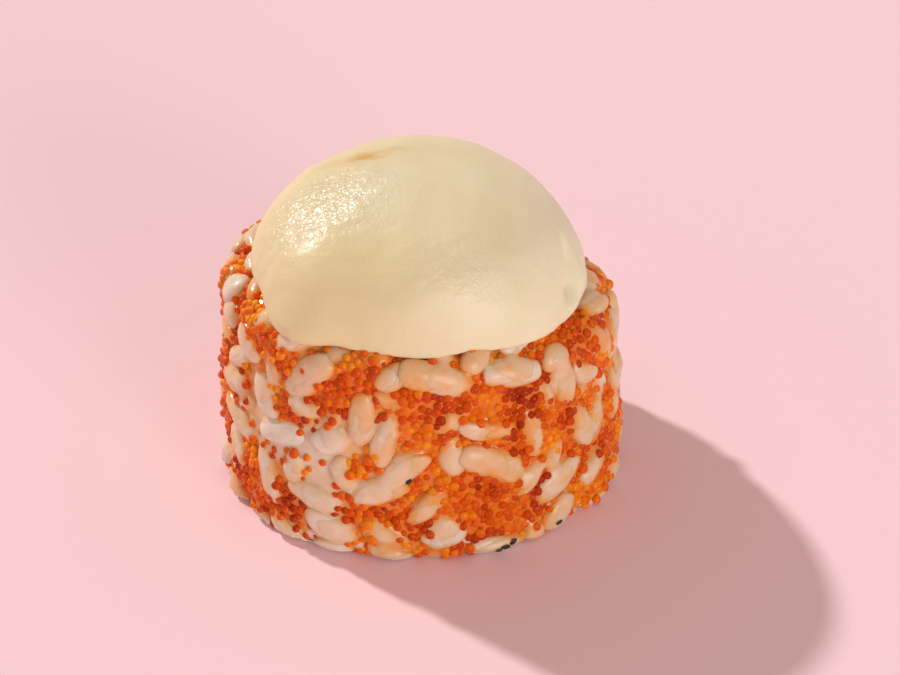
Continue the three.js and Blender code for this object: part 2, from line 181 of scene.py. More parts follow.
# Grains that the knife cut through at the foot.
CUT_GRAIN_TRIES = 2600
CUT_GRAIN_SPACING = 2.0
CUT_LENGTHS = (0.6, 0.95)
CUT_HEIGHTS = (0.5, 1.3)
CUT_FROM_NORI = 0.6
CUT_FROM_SIDE = 0.7
CUT_STAIN = 0.1
CUT_SINK = 0.5
SLICE_HEIGHT = 0.13
SLICE_SPREAD = 0.1
SLICE_FLATNESS = 0.03

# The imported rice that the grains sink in.
CORE_SINK = 0.55
CORE_STEPS = 520
CORE_RISES = 144
CORE_LOWEST = 0.4
CORE_OVER_RIM = 4.6
CORE_FROM_NORI = 0.04
CORE_STAIN = 0.12
UNDERSIDE_LOOPS = 12
WALL_LOOPS = 10
SEAM_SHARPNESS = 2.6
SEAM_SINK = 0.12

# The sticky glaze between the grains, and the orange stain that it leaves on them.
GLAZE_LEVEL = -0.1
GLAZE_UNEVENNESS = 0.16
PATCH_SWELL = 0.5
PALE_SWELL = 0.5
STAIN_REACH = 0.7
WARMTH = 0.6
PALE_LOSS = 0.54
OWN_SHADE = 0.26
PALE_BELOW = 1.2

# The pale, creamy rice at the left of the front: its middle and how far it spreads.
PALE_ANGLE = FRONT - math.radians(36)
PALE_RISE = 10.5
PALE_WIDE = 8.5
PALE_HIGH = 8.0

# The beads of roe.
BEAD_SPREAD = (0.72, 1.08)
BEAD_SQUASH = (0.9, 1.06)
ROE_SPACING = 0.71
ROE_TRIES = 80000
ROE_LIMIT = 2450
ROE_LOWEST = 0.2
ROE_OVER_RIM = 1.6
ROE_LIFTS = (-0.26, 0.1)
ROE_PATCH_EDGE = 0.92
ROE_PATCH_CEILING = 0.75
ROE_SEAM_EDGE = 2.0
ROE_SEAM_CEILING = 0.35
ROE_STRAY_CHANCE = 0.0004
ROE_STRAY_CEILING = 1.1

# The sheet of seaweed.
SHEET_STEPS = 260
SHEET_RISES = 26
SHEET_RAGGEDNESS = 0.16
SHEET_WRINKLE = 0.14

# The cap of sauce, and how its lip lifts off the rice.
CAP_AROUND = 400
CAP_CLIMBS = 120
LIP_CLIMBS = 12
LIP_WAVE = 0.35
LIP_LIFT_REACH = 3.2

# Where the cap's skin is crinkled: x, y, half width, half depth.
CRINKLES_LEFT = (-8.6, -6.8, 7.4, 6.2)
CRINKLES_FRONT = (4.0, -14.0, 5.0, 3.0)

# The crease that bends round the cap's right end, and the ridge outside it.
CREASE_X = 15.7
CREASE_BEND = 0.06
CREASE_DEPTH = 1.2
CREASE_WIDTH = 0.5
RIDGE_AWAY = 1.2
RIDGE_HEIGHT = 0.55
RIDGE_WIDTH = 0.7

# Browned marks on the cap: x, y, half width, half depth, strength.
CAP_TOAST = [
    (-5.4, 0.9, 2.3, 1.6, 0.7),
    (-9.5, 1.6, 3.0, 1.4, 0.3),
    (-2.2, 2.6, 1.8, 1.2, 0.25),
]

# Where the cap's lip stands off the rice: degrees to the right of the front, half width, height.
LIP_GAPS = [
    (-25, 2.4, 0.7),
    (18, 2.6, 0.75),
    (-58, 2.0, 0.6),
    (73, 4.2, 1.25),
    (118, 3.0, 0.7),
    (171, 2.4, 0.6),
    (-137, 2.8, 0.8),
]

# Flecks of seaweed on the rice: degrees to the right of the front, height, half length.
FLECKS = [
    (25.8, 1.0, 0.5),
    (23.8, 0.8, 0.36),
    (28.3, 1.3, 0.44),
    (-2.4, 10.8, 0.4),
    (43.7, 1.6, 0.36),
    (96.0, 15.2, 0.3),
    (161.0, 6.4, 0.26),
    (-122.0, 11.8, 0.3),
]
FLECK_HALF_THICKNESS = 0.09
FLECK_SLIMNESS = 0.6
FLECK_RAGGEDNESS = 0.35


# ------------------------------------------------------------------------ the shape of the rice

def draws_from(seed):
    """Lehmer's generator: the same draws from the same seed, from 0 to 1."""
    state = seed
    while True:
        state = state * LEHMER_FACTOR % LEHMER_PRIME
        yield state / LEHMER_PRIME


def top_height(x, y):
    """The slanted cut across the top of the rice."""
    return ROLL_HEIGHT + TOP_SLOPE_X * x + TOP_SLOPE_Y * y


def side_height(angle):
    """How high the side would reach at an angle if its rim were not rounded."""
    return top_height(CORE_RADIUS * np.cos(angle), CORE_RADIUS * np.sin(angle))


def core_radius(angle, height):
    """The bare core is not quite round: it spreads low down, most of all to the right."""
    share = np.clip(height / ROLL_HEIGHT, 0, 1)
    oval = 0.3 * np.cos(2 * (angle - 0.5)) + 0.22 * np.cos(3 * angle + 1.1)
    spread = 0.55 + 0.5 * np.cos(2 * angle) + 0.5 * np.cos(angle + 0.9)
    flare = spread * np.maximum(0, 1 - share / 0.9)
    waist = -0.35 * (share - 0.45) ** 2
    foot = -FOOT_ROUND * np.maximum(0, 1 - np.maximum(height, 0) / FOOT_ROUND) ** 2
    return CORE_RADIUS + oval + flare + waist + foot


def rim_drop(angle, distance):
    """How far the rounded rim has dropped below the top cut, at a distance from the axis."""
    start = core_radius(angle, ROLL_HEIGHT) - RIM_ROUND
    past = np.clip((distance - start) / RIM_ROUND, 0, 1)
    return RIM_ROUND * (1 - np.sqrt(1 - past * past))


def on_skin(angle, rise, lift):
    """A point round the roll by angle, up its side and in over its rim by rise, and out by lift."""
    radius = core_radius(angle, rise)
    x_share = np.cos(angle)
    y_share = np.sin(angle)
    rim_start = top_height(radius * x_share, radius * y_share) - RIM_ROUND
    turn = np.clip((rise - rim_start) / RIM_ROUND, 0, math.pi / 2)
    inward = np.maximum(rise - rim_start - RIM_ROUND * math.pi / 2, 0)
    distance = radius - RIM_ROUND * (1 - np.cos(turn)) - inward
    rim_height = top_height(distance * x_share, distance * y_share) - RIM_ROUND * (1 - np.sin(turn))
    height = np.where(rise < rim_start, rise, rim_height)
    out = distance + lift * np.cos(turn)
    return np.stack([out * x_share, out * y_share, height + lift * np.sin(turn)], axis=-1)


def turn_between(start, end):
    """The shorter way round from one angle to another."""
    return np.arctan2(np.sin(end - start), np.cos(end - start))


def roe_patches():
    """The patches of roe, as rows of angle, height, half width, half height and slant."""
    patches = [
        (FRONT + math.radians(across), height, wide, high, math.radians(slant))
        for across, height, wide, high, slant in FRONT_PATCHES
    ]
    draw = draws_from(PATCH_SEED)
    step = math.radians(360 - 2 * PATCHED_FRONT) / OTHER_PATCHES
    for i in range(OTHER_PATCHES):
        angle = FRONT + math.radians(PATCHED_FRONT) + (i + next(draw)) * step
        height = 2 + 19 * ((i * 0.618 + 0.3 * next(draw)) % 1)
        wide = 2.4 + 3.2 * next(draw)
        high = 1.6 + 2.0 * next(draw)
        slant = math.pi * (next(draw) - 0.5)
        patches.append((angle, height, wide, high, slant))
    return np.array(patches)


def patch_distance(patches, angle, rise):
    """0 at the middle of the nearest patch of roe, 1 at its edge."""
    nearest = np.full(np.shape(angle), np.inf)
    for patch_angle, height, wide, high, slant in patches:
        side = turn_between(patch_angle, angle) * CORE_RADIUS
        up = rise - height
        along = side * math.cos(slant) + up * math.sin(slant)
        over = up * math.cos(slant) - side * math.sin(slant)
        nearest = np.minimum(nearest, np.hypot(along / wide, over / high))
    return nearest


def noise_at(points, size, offset=0.0):
    """Smooth noise from about -1 to 1 at points, with lumps of that size."""
    flat = np.reshape(points, (-1, 3)) / size + offset
    values = np.array([noise.noise(Vector(point)) for point in flat])
    return values.reshape(np.shape(points)[:-1])


# ------------------------------------------------------------------------------ making meshes

def mesh_piece(name, points, faces, shift, floats=None):
    """A smooth mesh object from points in millimetres, with named numbers on its points."""
    mesh = bpy.data.meshes.new(name)
    placed = (np.reshape(points, (-1, 3)) + shift) * MM
    mesh.from_pydata(placed.tolist(), [], [list(face) for face in faces])
    for key, values in (floats or {}).items():
        layer = mesh.attributes.new(key, "FLOAT", "POINT")
        layer.data.foreach_set("value", np.ravel(values).astype(np.float32))
    mesh.shade_smooth()
    piece = bpy.data.objects.new(name, mesh)
    bpy.context.scene.collection.objects.link(piece)
    return piece


def loop_faces(loops, steps, closed=False):
    """Quads between loops of as many points each, and from the last back to the first if closed."""
    faces = []
    for band in range(loops if closed else loops - 1):
        low = band * steps
        high = (band + 1) % loops * steps
        for i in range(steps):
            after = (i + 1) % steps
            faces.append((low + i, low + after, high + after, high + i))
    return faces


def many_faces(faces, count, points_each):
    """The same faces again for each of several copies of a mesh."""
    return [
        tuple(corner + copy * points_each for corner in face)
        for copy in range(count)
        for face in faces
    ]


# ------------------------------------------------------------------------------- rice grains

def proud_grains(patches):
    """The grains that the solid has, in the same places and sizes."""
    draw = draws_from(GRAIN_SEED)
    grains = [
        (FRONT + math.radians(across), height, math.radians(spin), length, width, 0)
        for across, height, spin, length, width in FRONT_GRAINS
    ]
    spines = np.vstack([spine_of(*grain[:4]) for grain in grains])
    for _ in range(GRAIN_TRIES):
        if len(grains) == GRAIN_LIMIT:
            break
        angle = next(draw) * FULL_TURN
        rise = GRAIN_LOWEST + next(draw) * (side_height(angle) + GRAIN_EXTRA_RISE)
        spin = next(draw) * math.pi
        length = GRAIN_LENGTH * (1 + GRAIN_SPREAD * (2 * next(draw) - 1))
        width = GRAIN_WIDTH * (1 + GRAIN_SPREAD * (2 * next(draw) - 1))
        lift = GRAIN_LIFT * (2 * next(draw) - 1)
        chance = next(draw)
        spine = spine_of(angle, rise, spin, length)
        if crowded(spine, spines, GRAIN_SPACING):
            continue
        if chance > GRAINS_IN_PATCHES and patch_distance(patches, np.array(angle), rise) < 1:
            continue
        grains.append((angle, rise, spin, length, width, lift))
        spines = np.vstack([spines, spine])
    return grains, spines


def spine_of(angle, rise, spin, length):
    """Three points along a grain: its angle, and their places to the side and up."""
    shares = np.array([-0.32, 0, 0.32])
    side = shares * length * math.cos(spin)
    up = rise + shares * length * math.sin(spin)
    return np.column_stack([np.full(3, angle), side, up])


def crowded(spine, spines, spacing):
    """Whether a grain comes nearer than the spacing to any grain already placed."""
    for angle, side, up in spine:
        across = turn_between(spines[:, 0], angle) * CORE_RADIUS + side - spines[:, 1]
        if np.any(np.hypot(across, up - spines[:, 2]) < spacing):
            return True
    return False


def sunk_grains(spines, patches, random):
    """Grains deeper in the rice, in the gaps between those above them."""
    grains = []
    for lift, spacing, tries, keep_out in SUNK_LAYERS:
        for _ in range(tries):
            angle = random.uniform(0, FULL_TURN)
            rise = random.uniform(SUNK_LOWEST, side_height(angle) + SUNK_OVER_RIM)
            spin = random.uniform(0, math.pi)
            length = GRAIN_LENGTH * random.uniform(*SUNK_LENGTHS)
            spine = spine_of(angle, rise, spin, length)
            if crowded(spine, spines, spacing) or patch_distance(patches, angle, rise) < keep_out:
                continue
            width = GRAIN_WIDTH * random.uniform(*SUNK_WIDTHS)
            grains.append((angle, rise, spin, length, width, lift + random.uniform(*SUNK_LIFTS)))
            spines = np.vstack([spines, spine])
    return grains


def grain_template():
    """Points of one grain as their place along it and their turn around it, and its faces."""
    turns = np.pi * np.arange(1, GRAIN_RINGS + 1) / (GRAIN_RINGS + 1)
    rounds = FULL_TURN * np.arange(GRAIN_SIDES) / GRAIN_SIDES
    along = np.append(np.repeat(-np.cos(turns), GRAIN_SIDES), [-1, 1])
    round_it = np.append(np.tile(rounds, GRAIN_RINGS), [0, 0])
    faces = loop_faces(GRAIN_RINGS, GRAIN_SIDES)
    start_pole = GRAIN_RINGS * GRAIN_SIDES
    last = start_pole - GRAIN_SIDES
    for i in range(GRAIN_SIDES):
        after = (i + 1) % GRAIN_SIDES
        faces.append((start_pole, after, i))
        faces.append((start_pole + 1, last + i, last + after))
    return along, round_it, faces


def shaped_grains(count, length, width, random, pitch):
    """Points of as many grains about their own middles: blunt or pointed, bowed and tipped."""
    along_share, round_it, faces = grain_template()
    each = (count, 1)
    girth = np.maximum(1 - along_share**2, 0) ** random.uniform(*GRAIN_BLUNTNESS, each)
    taper = 1 + random.uniform(-GRAIN_TAPER, GRAIN_TAPER, each) * along_share
    ridge_share = random.uniform(0, GRAIN_RIDGE, each)
    ridge = 1 + ridge_share * np.cos(3 * round_it + random.uniform(0, 6, each))
    across_share = girth * ridge * np.cos(round_it)
    out_share = girth * ridge * np.sin(round_it)
    bow = random.uniform(-GRAIN_BOW, GRAIN_BOW, each) * along_share**2
    along = along_share * length[:, None] / 2
    across = across_share * width[:, None] / 2 * taper + bow
    in_groove = np.exp(-((across_share - GROOVE_PLACE) / GROOVE_WIDTH) ** 2) * (out_share > 0)
    out = out_share * GRAIN_THICKNESS / 2 * random.uniform(*GRAIN_FULLNESS, each) * taper
    out = out - GROOVE_DEPTH * in_groove * random.uniform(0, 1, each) * (1 - along_share**2)
    tip = random.uniform(-1, 1, each) * pitch
    tipped_along = along * np.cos(tip) - out * np.sin(tip)
    tipped_out = out * np.cos(tip) + along * np.sin(tip)
    return np.stack([tipped_along, across, tipped_out], axis=-1), faces


def grains_on_side(grains, random, pitch):
    """Grains bent to the roll's side, with the angle, rise and lift of each of their points."""
    angle, rise, spin, length, width, lift = np.array(grains).T[:, :, None]
    shaped, faces = shaped_grains(len(grains), length[:, 0], width[:, 0], random, pitch)
    along, across, out = np.moveaxis(shaped, -1, 0)
    side = along * np.cos(spin) - across * np.sin(spin)
    up = along * np.sin(spin) + across * np.cos(spin)
    place = (angle + side / CORE_RADIUS, rise + up, lift + out)
    return dented(on_skin(*place)), faces, place


def dented(points):
    """Soft dents in the grains, and those that reach the cut underside sliced flat."""
    bent = points
    for size, start, depth in GRAIN_DENTS:
        bent = bent + noise_at(points, size, start)[..., None] * np.array(depth)
    # A share from 0 to 1 that differs from grain to grain.
    own_share = np.mod(points[:, :1, 0] * 7.3, 1)
    slice_height = SLICE_HEIGHT + SLICE_SPREAD * own_share
    below = np.minimum(bent[..., 2] - slice_height, 0)
    bent[..., 2] -= (1 - SLICE_FLATNESS) * below
    return bent


def packed_height(grains, angle, rise):
    """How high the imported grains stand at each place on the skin, with soft seams between them."""
    shape = np.shape(angle)
    angle = np.ravel(angle)
    rise = np.ravel(rise)
    total = np.full(angle.shape, math.exp(-SEAM_SHARPNESS * CORE_SINK))
    for grain_angle, grain_rise, spin, length, width, lift in grains:
        side = turn_between(grain_angle, angle) * CORE_RADIUS
        up = rise - grain_rise
        reach = length * 0.6
        near = np.flatnonzero((np.abs(side) < reach) & (np.abs(up) < reach))
        side = side[near]
        up = up[near]
        along = (side * math.cos(spin) + up * math.sin(spin)) / (length / 2)
        across = (up * math.cos(spin) - side * math.sin(spin)) / (width / 2)
        bulge = 1 - along**2 - across**2
        dome = np.where(bulge > 0, np.sqrt(np.maximum(bulge, 0)), 2 * bulge)
        total[near] += np.exp(SEAM_SHARPNESS * (lift + GRAIN_THICKNESS / 2 * dome))
    return np.reshape(np.log(total) / SEAM_SHARPNESS, shape)


def paleness(angle, rise):
    """1 in the middle of the pale, creamy rice at the left of the front, and 0 away from it."""
    side = turn_between(PALE_ANGLE, angle) * CORE_RADIUS
    return np.exp(-((side / PALE_WIDE) ** 2) - ((rise - PALE_RISE) / PALE_HIGH) ** 2)


def glaze_height(patch, pale, points):
    """How high the sticky glaze stands between the grains: highest by the roe and the pale rice."""
    in_patch = np.clip((1.2 - patch) / 0.4, 0, 1)
    swell = np.maximum(PATCH_SWELL * in_patch, PALE_SWELL * pale)
    return GLAZE_LEVEL + swell + GLAZE_UNEVENNESS * noise_at(points, 2.6, 3.0)


def warmth(pale):
    """How orange the rice is away from the roe."""
    return WARMTH - PALE_LOSS * pale


def stained(height, glaze, patch, warm):
    """How orange the rice is: most low down by the roe, and fading out above the glaze."""
    near = np.clip((1.5 - patch) / 0.6, 0, 1) * (0.4 + warm)
    level = warm + (1 - warm) * near
    high = 0.34 * warm + 0.1 * near
    low = np.clip(1 - (height - glaze) / STAIN_REACH, 0, 1)
    return high + (level - high) * low


def grain_piece(grains, patches, random, shift):
    """All grains round the side in one piece, stained by the roe but hardly where they are cut."""
    points, faces, (angle, rise, lift) = grains_on_side(grains, random, SIDE_PITCH)
    patch = patch_distance(patches, angle, rise)
    pale = paleness(angle, rise)
    stain = stained(lift, glaze_height(patch, pale, points), patch, warmth(pale))
    own = random.uniform(0, 1, (len(grains), 1)) * np.ones_like(lift)
    stain = stain + OWN_SHADE * (own - 0.5) + 0.08 * noise_at(points, 2.6, 6.0)
    kept_share = np.clip(points[..., 2] / PALE_BELOW, 0.2, 1)
    floats = {"stain": np.clip(stain, 0, 1) * kept_share, "tint": own}
    faces = many_faces(faces, len(grains), points.shape[1])
    return mesh_piece("rice_grains", points, faces, shift, floats)


def cut_grain_piece(random, shift):
    """Grains sliced flat across the cut underside of the rice ring."""
    places = np.empty((0, 2))
    inside = NORI_RADIUS + GAP + CUT_FROM_NORI
    for _ in range(CUT_GRAIN_TRIES):
        angle = random.uniform(0, FULL_TURN)
        outside = core_radius(angle, FOOT_ROUND) - CUT_FROM_SIDE
        distance = math.sqrt(random.uniform(inside**2, outside**2))
        place = np.array([distance * math.cos(angle), distance * math.sin(angle)])
        if np.all(np.hypot(*(places - place).T) > CUT_GRAIN_SPACING):
            places = np.vstack([places, place])
    count = len(places)
    length = GRAIN_LENGTH * random.uniform(*CUT_LENGTHS, count)
    width = GRAIN_WIDTH * random.uniform(*SUNK_WIDTHS, count)
    shaped, faces = shaped_grains(count, length, width, random, CUT_PITCH)
    along, across, out = np.moveaxis(shaped, -1, 0)
    spin = random.uniform(0, FULL_TURN, (count, 1))
    x = places[:, :1] + along * np.cos(spin) - across * np.sin(spin)
    y = places[:, 1:] + along * np.sin(spin) + across * np.cos(spin)
    height = random.uniform(*CUT_HEIGHTS, (count, 1)) + out
    points = kept_in_ring(dented(np.stack([x, y, height], axis=-1)))
    floats = {
        "stain": np.full(points.shape[:2], CUT_STAIN),
        "tint": random.uniform(0, 1, (count, 1)) * np.ones_like(height),
    }
    faces = many_faces(faces, count, points.shape[1])
    return mesh_piece("rice_grains_cut", points, faces, shift, floats)


def kept_in_ring(points):
    """Points pushed back between the seaweed and the roll's skin."""
    angle = np.arctan2(points[..., 1], points[..., 0])
    distance = np.hypot(points[..., 0], points[..., 1])
    inside = NORI_RADIUS + 0.05 + nori_wave(angle)
    outside = core_radius(angle, np.maximum(points[..., 2], 0)) + 0.1
    kept = np.clip(distance, inside, outside)
    points[..., :2] *= (kept / distance)[..., None]
    return points


# --------------------------------------------------------------------------------- the rice core

def rice_core_piece(grains, patches, shift):
    """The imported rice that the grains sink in: a ring with its side, its rim and two cut ends."""
    angles = FULL_TURN * np.arange(CORE_STEPS) / CORE_STEPS
    around = np.stack([np.cos(angles), np.sin(angles), 0 * angles], axis=-1)
    hole = NORI_RADIUS + CORE_FROM_NORI + nori_wave(angles)
    foot = core_radius(angles, FOOT_ROUND) - CORE_SINK
    upward = np.array([0, 0, 1])
    underside = [
        around * (hole + share * (foot - hole))[:, None] + CUT_SINK * upward
        for share in np.linspace(0, 0.94, UNDERSIDE_LOOPS)
    ]
    everywhere = np.broadcast_to(angles, (CORE_RISES, CORE_STEPS))
    shares = np.linspace(0, 1, CORE_RISES)[:, None]
    rises = CUT_SINK + CORE_LOWEST + shares * (side_height(everywhere) + CORE_OVER_RIM)
    patch = patch_distance(patches, everywhere, rises)
    pale = paleness(everywhere, rises)
    middle = on_skin(everywhere, rises, 0)
    glaze = glaze_height(patch, pale, middle)
    packed = packed_height(grains, everywhere, rises) - SEAM_SINK
    height = np.maximum(packed, glaze)
    lumps = 0.1 * noise_at(middle, 1.3) + 0.05 * noise_at(middle, 0.5, 9.0)
    skin = on_skin(everywhere, rises, height + lumps)
    top = top_height(hole * around[:, 0], hole * around[:, 1]) - RECESS
    wall = [
        around * hole[:, None] + (RECESS + share * (top - RECESS))[:, None] * upward
        for share in np.linspace(1, 0, WALL_LOOPS)
    ]
    points = np.concatenate([underside, skin, wall])
    points[..., 2] = np.maximum(points[..., 2], RECESS)
    skin_stain = stained(height, glaze, patch, warmth(pale)) + 0.1 * noise_at(skin, 2.6, 6.0)
    stain = np.full(points.shape[:2], CORE_STAIN)
    stain[UNDERSIDE_LOOPS:UNDERSIDE_LOOPS + CORE_RISES] = np.clip(skin_stain, 0, 1)
    floats = {"stain": stain, "tint": 0.5 + 0.5 * noise_at(points, 3.0)}
    faces = loop_faces(len(points), CORE_STEPS, closed=True)
    return mesh_piece("rice_core", points, faces, shift, floats)


# ------------------------------------------------------------------------------------------ roe

def roe_places(patches, grains, random):
    """Beads packed in the patches, strung along the seams between grains, and a few astray."""
    angle = random.uniform(0, FULL_TURN, ROE_TRIES)
    rise = ROE_LOWEST + random.uniform(0, 1, ROE_TRIES) * (side_height(angle) + ROE_OVER_RIM)
    middle = on_skin(angle, rise, 0)
    patch = patch_distance(patches, angle, rise)
    pale = paleness(angle, rise)
    glaze = glaze_height(patch, pale, middle)
    packed = packed_height(grains, angle, rise) - SEAM_SINK
    ground = np.maximum(packed, glaze)
    ragged = patch + 0.28 * noise_at(middle, 2.3, 4.0)
    chance = random.uniform(0, 1, ROE_TRIES)
    bare = noise_at(middle, 1.9, 11.0) > 0.22
    patch_edge = ROE_PATCH_EDGE - 0.3 * pale
    in_patch = (ragged < patch_edge) & (ground < ROE_PATCH_CEILING) & ~bare
    seam_chance = (0.34 - 0.12 * ragged) * (1 - 0.95 * pale)
    in_seam = (packed < glaze + ROE_SEAM_CEILING) & (chance < seam_chance)
    in_seam = in_seam & (ragged < ROE_SEAM_EDGE)
    astray = (chance < ROE_STRAY_CHANCE) & (ground < ROE_STRAY_CEILING)
    lift = ground + random.uniform(*ROE_LIFTS, ROE_TRIES)
    wanted = np.flatnonzero(in_patch | in_seam | astray)
    points = on_skin(angle, rise, lift)
    return spaced(points[wanted], ROE_SPACING, ROE_LIMIT)


def spaced(points, spacing, limit):
    """The first of the points that lie no nearer to each other than spacing."""
    cells = {}
    kept = []
    for point in points:
        cell = tuple(np.floor(point / spacing).astype(int))
        around = [
            other
            for dx in (-1, 0, 1)
            for dy in (-1, 0, 1)
            for dz in (-1, 0, 1)
            for other in cells.get((cell[0] + dx, cell[1] + dy, cell[2] + dz), ())
        ]
        if all(np.sum((other - point) ** 2) > spacing**2 for other in around):
            cells.setdefault(cell, []).append(point)
            kept.append(point)
        if len(kept) == limit:
            break
    return np.array(kept)


def bead_template():
    """Points and faces of a ball of radius 1."""
    ball = bmesh.new()
    bmesh.ops.create_icosphere(ball, subdivisions=2, radius=1)
    points = np.array([corner.co[:] for corner in ball.verts])
    faces = [tuple(corner.index for corner in face.verts) for face in ball.faces]
    ball.free()
    return points, faces


def roe_piece(patches, grains, random, shift):
    """All beads in one piece, each with its own tint, a painted glow at its rim and painted shade
    inside.
    """
    places = roe_places(patches, grains, random)
    template, faces = bead_template()
    count = len(places)
    radius = ROE_RADIUS * random.uniform(*BEAD_SPREAD, (count, 1, 1))
    squash = random.uniform(*BEAD_SQUASH, (count, 1, 3))
    places[:, 2] = np.maximum(places[:, 2], radius[:, 0, 0])
    points = places[:, None, :] + template * radius * squash
    points[..., 2] = np.maximum(points[..., 2], 0.01)
    outward = places * np.array([1, 1, 0])
    outward /= np.linalg.norm(outward, axis=1)[:, None]
    outer = np.clip(template @ outward.T, 0, 1).T
    cluster = noise_at(places, 4.5, 14.0)[:, None]
    # The last term paints light on each bead: a painted glow round its rim and painted shade in its
    # middle.
    tint = 0.1 + 0.45 * random.uniform(0, 1, (count, 1)) + 0.5 * cluster + 0.35 * (1 - outer**2)
    return mesh_piece("roe", points, many_faces(faces, count, len(template)), shift, {"tint": tint})


def fleck_piece(grains, random, shift):
    """Small dark chips of seaweed stuck to the rice."""
    template, faces = bead_template()
    across, rise, size = np.array(FLECKS).T
    angle = FRONT + np.radians(across)
    lift = packed_height(grains, angle, rise) + 0.02
    ragged = 1 + FLECK_RAGGEDNESS * random.uniform(-1, 1, (len(FLECKS), len(template)))
    turn = random.uniform(0, FULL_TURN, (len(FLECKS), 1))
    long = template[:, 0] * size[:, None] * ragged
    wide = template[:, 1] * size[:, None] * FLECK_SLIMNESS * ragged
    side = long * np.cos(turn) - wide * np.sin(turn)
    up = long * np.sin(turn) + wide * np.cos(turn)
    out = lift[:, None] + FLECK_HALF_THICKNESS * template[:, 2]
    points = on_skin(angle[:, None] + side / CORE_RADIUS, rise[:, None] + up, out)
    points[..., 2] = np.maximum(points[..., 2], 0.01)
    faces = many_faces(faces, len(FLECKS), len(template))
    return mesh_piece("seaweed_flecks", points, faces, shift)


# ---------------------------------------------------------------------------------- the seaweed

def nori_wave(angle):
    """How far the seaweed ring stands out from its circle."""
    return NORI_WAVE * (np.cos(5 * angle + 0.4) + 0.6 * np.cos(8 * angle))


def recipe_shift():
    """What moves the roll's axis to its place in the frame, found from the seaweed ring's box."""
    angles = FULL_TURN * np.arange(NORI_STEPS) / NORI_STEPS
    out = NORI_RADIUS + nori_wave(angles)
    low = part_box("nori")[0]
    x_shift = low.x / MM - min(out * np.cos(angles))
    y_shift = low.y / MM - min(out * np.sin(angles))
    return np.array([x_shift, y_shift, 0])


def nori_piece(shift):
    """The seaweed ring, wrinkled and a little ragged at its cut edges."""
    angles = FULL_TURN * np.arange(SHEET_STEPS) / SHEET_STEPS
    shares = np.linspace(0, 1, SHEET_RISES)
    loops = []
    for inner in (False, True):
        wall = NORI_RADIUS - NORI_THICKNESS * inner + nori_wave(angles)
        x = wall * np.cos(angles)
        y = wall * np.sin(angles)
        top = top_height(x, y) - RECESS
        for share in shares[::-1] if inner else shares:
            height = RECESS + share * (top - RECESS) + ragged_edge(x, y, share)
            wrinkle = SHEET_WRINKLE * noise_at(np.stack([x, y, height], -1), 1.7)
            shrink = 1 + (wrinkle - 0.04) / wall
            loops.append(np.stack([x * shrink, y * shrink, height], -1))
    faces = loop_faces(2 * SHEET_RISES, SHEET_STEPS, closed=True)
    return mesh_piece("nori_sheet", np.array(loops), faces, shift)


def ragged_edge(x, y, share):
    """How far the seaweed's lower and upper edges are worn in, and nothing between them."""
    if 0 < share < 1:
        return 0
    worn = SHEET_RAGGEDNESS * np.abs(noise_at(np.stack([x, y, 0 * x + 40 * share], -1), 0.9))
    return worn if share == 0 else -worn


# --------------------------------------------------------------------------------- the fillings

def refined(node, name, voxel):
    """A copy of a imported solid, meshed again with voxels of that many millimetres."""
    copied = bpy.data.objects.new(name, bpy.data.objects[node].data.copy())
    bpy.context.scene.collection.objects.link(copied)
    remesh = copied.modifiers.new("fine", "REMESH")
    remesh.mode = "VOXEL"
    remesh.voxel_size = voxel * MM
    graph = bpy.context.evaluated_depsgraph_get()
    mesh = bpy.data.meshes.new_from_object(copied.evaluated_get(graph))
    copied.modifiers.clear()
    copied.data = mesh
    mesh.name = name
    mesh.shade_smooth()
    return copied


def pushed(piece, relief):
    """Moves each point of a piece along its normal, by the millimetres that relief gives there."""
    mesh = piece.data
    count = len(mesh.vertices)
    places = np.empty(count * 3)
    normals = np.empty(count * 3)
    mesh.vertices.foreach_get("co", places)
    mesh.vertices.foreach_get("normal", normals)
    places = places.reshape(-1, 3) / MM
    normals = normals.reshape(-1, 3)
    moved = places + normals * relief(places)[:, None]
    mesh.vertices.foreach_set("co", (moved * MM).ravel())
    mesh.update()
    return piece


def cheese_relief(points):
    """Smooth swells."""
    return 0.14 + 0.08 * noise_at(points, 4.0) + 0.04 * noise_at(points, 1.1)


def shrimp_relief(points):
    """Soft flesh with shallow furrows between its strands."""
    strands = noise_at(points * np.array([1, 1, 0.35]), 1.3)
    return 0.12 + 0.08 * noise_at(points, 3.2) - 0.14 * np.exp(-((strands / 0.16) ** 2))


def batter_relief(points):
    """Crisp crags and pits."""
    crags = np.abs(noise_at(points, 2.1))
    pits = np.maximum(noise_at(points, 1.0, 3.0) - 0.1, 0)
    return 0.22 - 0.5 * crags - 0.6 * pits + 0.08 * noise_at(points, 0.5)


# ----------------------------------------------------------------------------------- the cap

def cap_reach(angle):
    """How far the cap spreads over the rice, with a corner at the front left."""
    forward = 0.5 * np.cos(angle) - 0.5 * np.sin(angle)
    oval = 1.0 * np.cos(2 * (angle - 1.16))
    uneven = -0.4 * np.sin(3 * angle)
    corner = 1.9 * np.exp(-((turn_between(angle, FRONT - 0.66) / 0.24) ** 2))
    return CAP_REACH + forward + oval + uneven + corner


